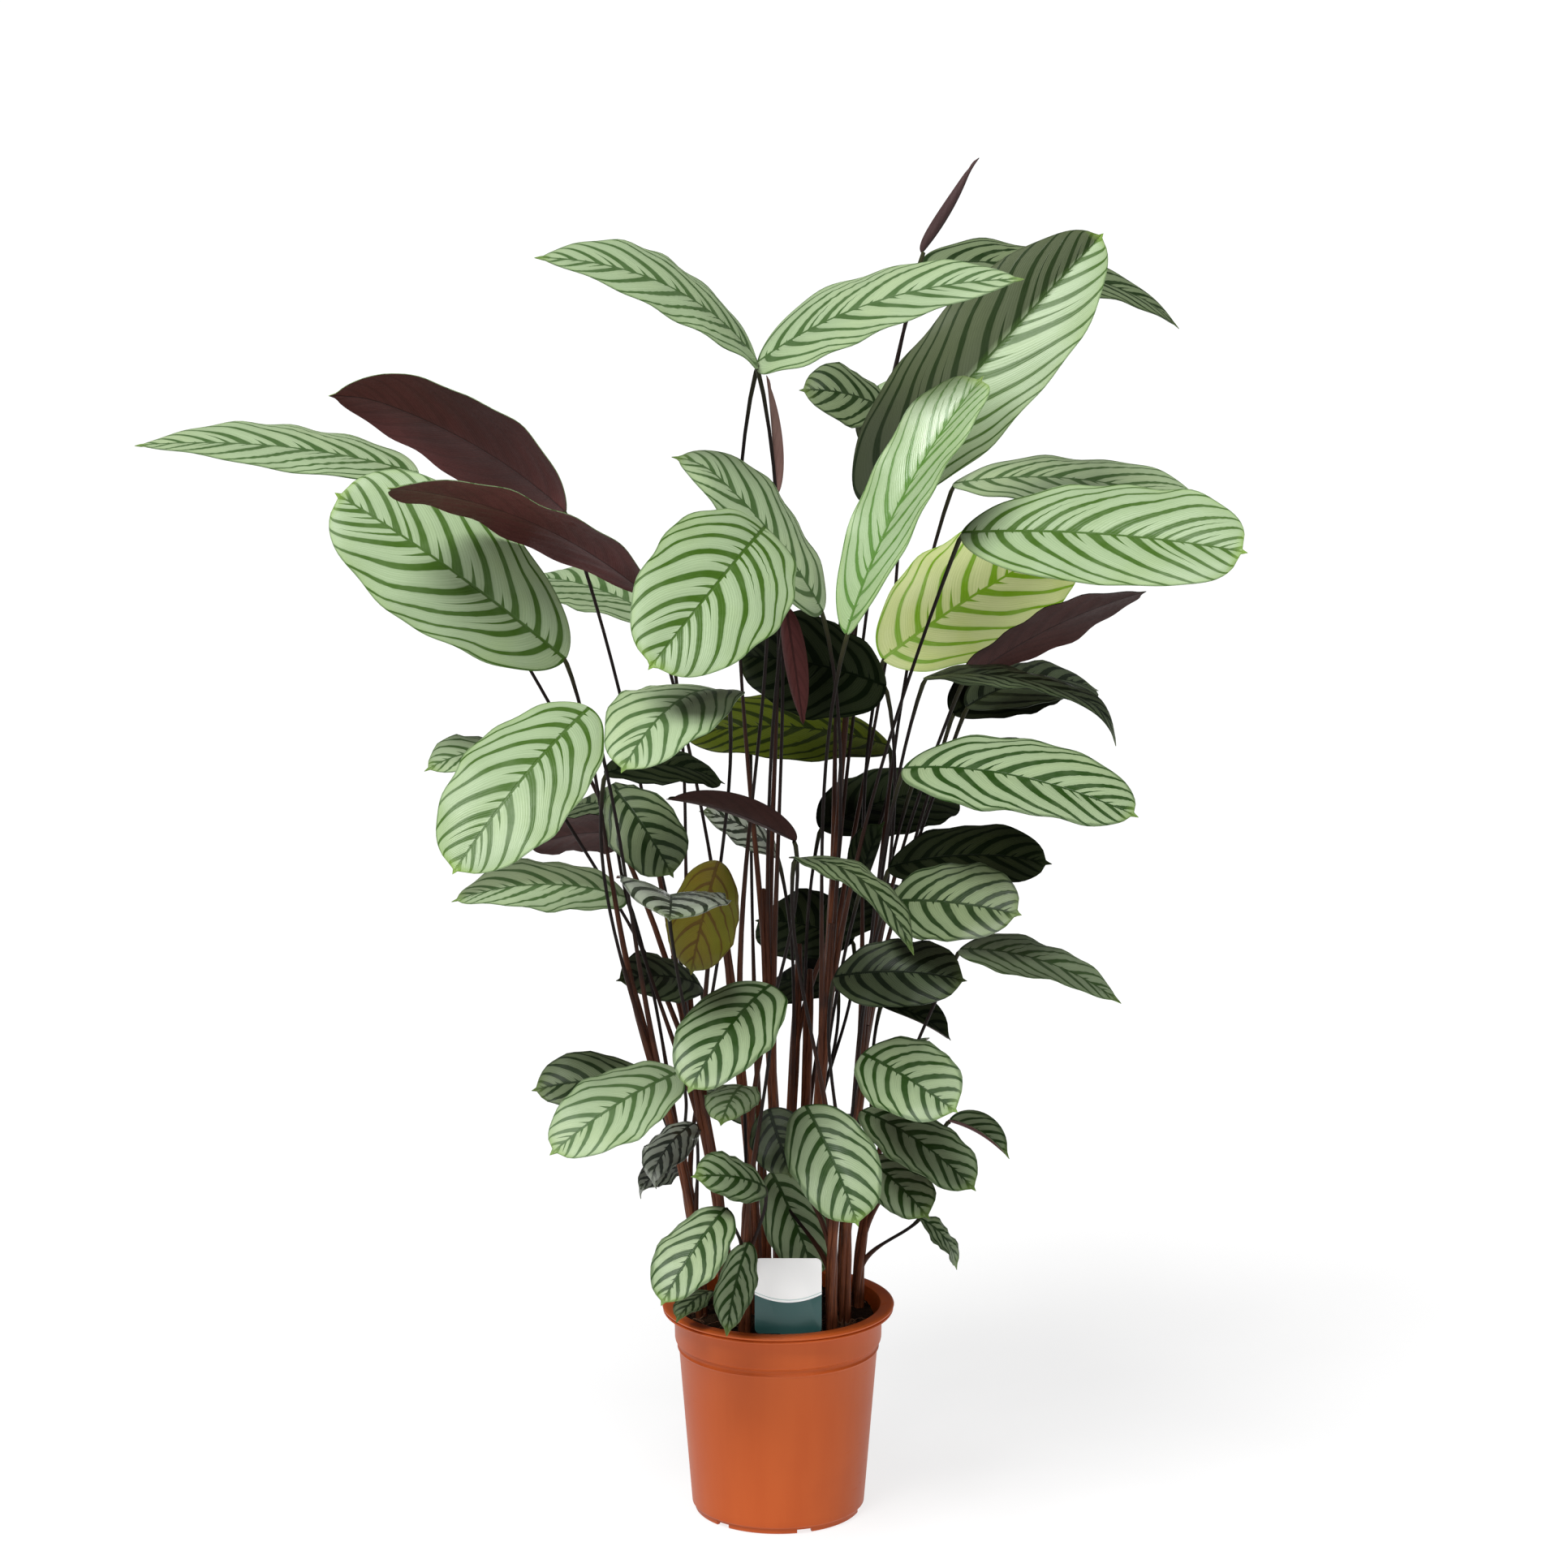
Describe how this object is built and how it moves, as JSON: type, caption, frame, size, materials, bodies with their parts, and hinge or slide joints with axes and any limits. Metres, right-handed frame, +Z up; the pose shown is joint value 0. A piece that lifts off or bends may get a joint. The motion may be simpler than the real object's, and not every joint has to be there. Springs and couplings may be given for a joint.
{
  "type": "potted ctenanthe",
  "caption": "Tall potted ctenanthe with striped oblong leaves on wiry stalks, in a terracotta-coloured nursery pot with peat and a plain label.",
  "frame": {"origin": "middle of the pot's underside, on the surface it stands on", "axes": "+Z up along the pot's axis; the plant's front, with the label, looks along -Y; +X is its right as seen from the front"},
  "size_m": [0.963, 0.7028, 1.2121],
  "materials": {
    "terracotta_plastic": "injection moulded, satin, with a slightly brighter lip",
    "peat": "damp peat with crumbs and fibres",
    "label_card": "white card with a dark teal foot, no print",
    "foliage": "satin leaf blades, silver green with dark stripes, on wiry dark stalks"
  },
  "bodies": {
    "root": {"pot": "terracotta_plastic", "soil": "peat", "label": "label_card", "shoot_left_tall": "foliage", "shoot_left_back": "foliage", "shoot_left_front": "foliage", "shoot_middle_left": "foliage", "shoot_middle": "foliage", "shoot_middle_back": "foliage", "shoot_tall_right": "foliage", "shoot_right_tall": "foliage", "shoot_right_back": "foliage", "shoot_right": "foliage", "shoot_right_front": "foliage", "shoot_front": "foliage", "shoot_front_left": "foliage", "shoot_left_low": "foliage", "shoot_back": "foliage", "shoot_back_low": "foliage", "shoot_right_low": "foliage"}
  },
  "joints": []
}
